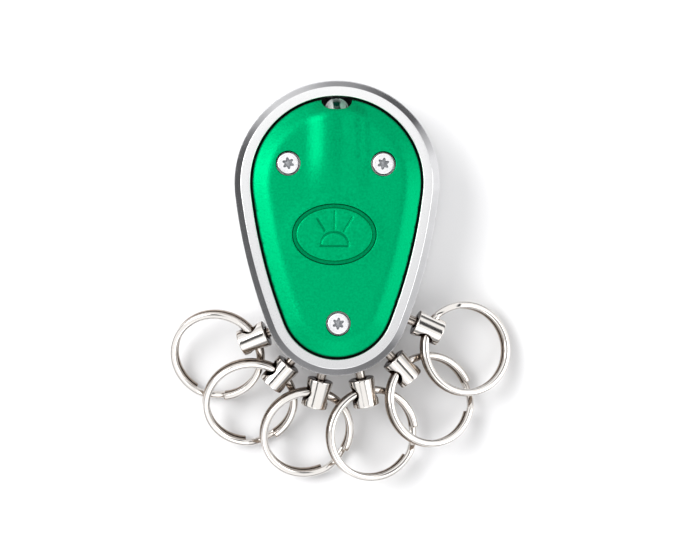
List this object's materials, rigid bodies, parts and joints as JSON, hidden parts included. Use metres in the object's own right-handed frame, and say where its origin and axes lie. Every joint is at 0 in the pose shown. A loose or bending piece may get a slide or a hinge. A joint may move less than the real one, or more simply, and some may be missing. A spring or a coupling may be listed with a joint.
{
  "type": "key organiser",
  "caption": "Egg-shaped metal key organiser with a sculpted light cover, an oval light button, a lamp at the wide end and swivelling split rings fanned round the narrow end.",
  "frame": {"origin": "centre of the flat back, on the back face", "axes": "+Z from the back to the cover, +Y towards the lamp, rings towards -Y, +X to the right seen from the cover side"},
  "size_m": [0.0696, 0.081, 0.0151],
  "materials": {
    "satin_alloy": "satin, with a bright bevel",
    "green_metal": "fine metallic green",
    "nickel": "polished nickel",
    "white_steel": "satin",
    "clear_lens": "clear, polished",
    "tinned_wire": "bright",
    "board": "satin",
    "black_plastic": "matt",
    "cell_steel": "bright",
    "contact_brass": "bright",
    "plunger_red": "gloss"
  },
  "bodies": {
    "root": {"body_frame": "satin_alloy", "back_plate": "satin_alloy", "front_cover": "green_metal", "led_lamp": "clear_lens", "led_anode_lead": "tinned_wire", "led_cathode_lead": "tinned_wire", "circuit_board": "board", "cell_tray": "black_plastic", "coin_cell_lower": "cell_steel", "coin_cell_upper": "cell_steel", "cell_contact_lower": "contact_brass", "cell_contact_upper": "contact_brass", "series_resistor": "black_plastic", "switch_body": "black_plastic", "cover_screw_1": "white_steel", "cover_screw_2": "white_steel", "cover_screw_3": "white_steel"},
    "light_button": {"light_button": "green_metal"},
    "switch_plunger": {"switch_plunger": "plunger_red"},
    "swivel_1": {"swivel_pin_1": "nickel", "swivel_barrel_1": "nickel"},
    "ring_1": {"key_ring_1": "nickel"},
    "swivel_2": {"swivel_pin_2": "nickel", "swivel_barrel_2": "nickel"},
    "ring_2": {"key_ring_2": "nickel"},
    "swivel_3": {"swivel_pin_3": "nickel", "swivel_barrel_3": "nickel"},
    "ring_3": {"key_ring_3": "nickel"},
    "swivel_4": {"swivel_pin_4": "nickel", "swivel_barrel_4": "nickel"},
    "ring_4": {"key_ring_4": "nickel"},
    "swivel_5": {"swivel_pin_5": "nickel", "swivel_barrel_5": "nickel"},
    "ring_5": {"key_ring_5": "nickel"},
    "swivel_6": {"swivel_pin_6": "nickel", "swivel_barrel_6": "nickel"},
    "ring_6": {"key_ring_6": "nickel"}
  },
  "joints": [
    {"name": "light_button_press", "type": "slide", "parent": "root", "child": "light_button", "axis": [0, 0, -1], "range_m": [0, 0.0005], "stiffness_N_per_m": 1500},
    {"name": "switch_plunger_press", "type": "slide", "parent": "root", "child": "switch_plunger", "axis": [0, 0, -1], "range_m": [0, 0.0005]},
    {"name": "swivel_1_spin", "type": "hinge", "parent": "root", "child": "swivel_1", "pos_m": [-0.01682, -0.02225, 0.0072], "axis": [-0.9182, -0.371, -0.1392], "range_deg": [-90, 0]},
    {"name": "key_ring_1_turn", "type": "hinge", "parent": "swivel_1", "child": "ring_1", "pos_m": [-0.02436, -0.02578, 0.00478], "axis": [-0.14, -0.3384, 0.9305], "continuous": true},
    {"name": "swivel_2_spin", "type": "hinge", "parent": "root", "child": "swivel_2", "pos_m": [-0.01159, -0.02952, 0.0072], "axis": [-0.6497, -0.7474, -0.1392], "range_deg": [-90, 0]},
    {"name": "key_ring_2_turn", "type": "hinge", "parent": "swivel_2", "child": "ring_2", "pos_m": [-0.01768, -0.03536, 0.00524], "axis": [0.1002, -0.4094, 0.9068], "continuous": true},
    {"name": "swivel_3_spin", "type": "hinge", "parent": "root", "child": "swivel_3", "pos_m": [-0.00399, -0.03336, 0.0072], "axis": [-0.2396, -0.9609, -0.1392], "range_deg": [-90, 0]},
    {"name": "key_ring_3_turn", "type": "hinge", "parent": "swivel_3", "child": "ring_3", "pos_m": [-0.00611, -0.04149, 0.00485], "axis": [0.2032, -0.3199, 0.9254], "continuous": true},
    {"name": "swivel_4_spin", "type": "hinge", "parent": "root", "child": "swivel_4", "pos_m": [0.00548, -0.03316, 0.0072], "axis": [0.1974, -0.9704, -0.1392], "range_deg": [-90, 0]},
    {"name": "key_ring_4_turn", "type": "hinge", "parent": "swivel_4", "child": "ring_4", "pos_m": [0.00716, -0.04168, 0.00606], "axis": [0.3045, -0.0672, 0.9501], "continuous": true},
    {"name": "swivel_5_spin", "type": "hinge", "parent": "root", "child": "swivel_5", "pos_m": [0.01327, -0.02845, 0.0072], "axis": [0.6626, -0.7359, -0.1392], "range_deg": [-90, 0]},
    {"name": "key_ring_5_turn", "type": "hinge", "parent": "swivel_5", "child": "ring_5", "pos_m": [0.01894, -0.03477, 0.00569], "axis": [0.3784, 0.1198, 0.9179], "continuous": true},
    {"name": "swivel_6_spin", "type": "hinge", "parent": "root", "child": "swivel_6", "pos_m": [0.01851, -0.02014, 0.0072], "axis": [0.9025, -0.4075, -0.1392], "range_deg": [-90, 0]},
    {"name": "key_ring_6_turn", "type": "hinge", "parent": "swivel_6", "child": "ring_6", "pos_m": [0.0262, -0.02446, 0.00508], "axis": [0.3226, 0.1138, 0.9397], "continuous": true}
  ],
  "couplings": [
    {"joint": "switch_plunger_press", "follows": "light_button_press", "ratio": 1}
  ]
}
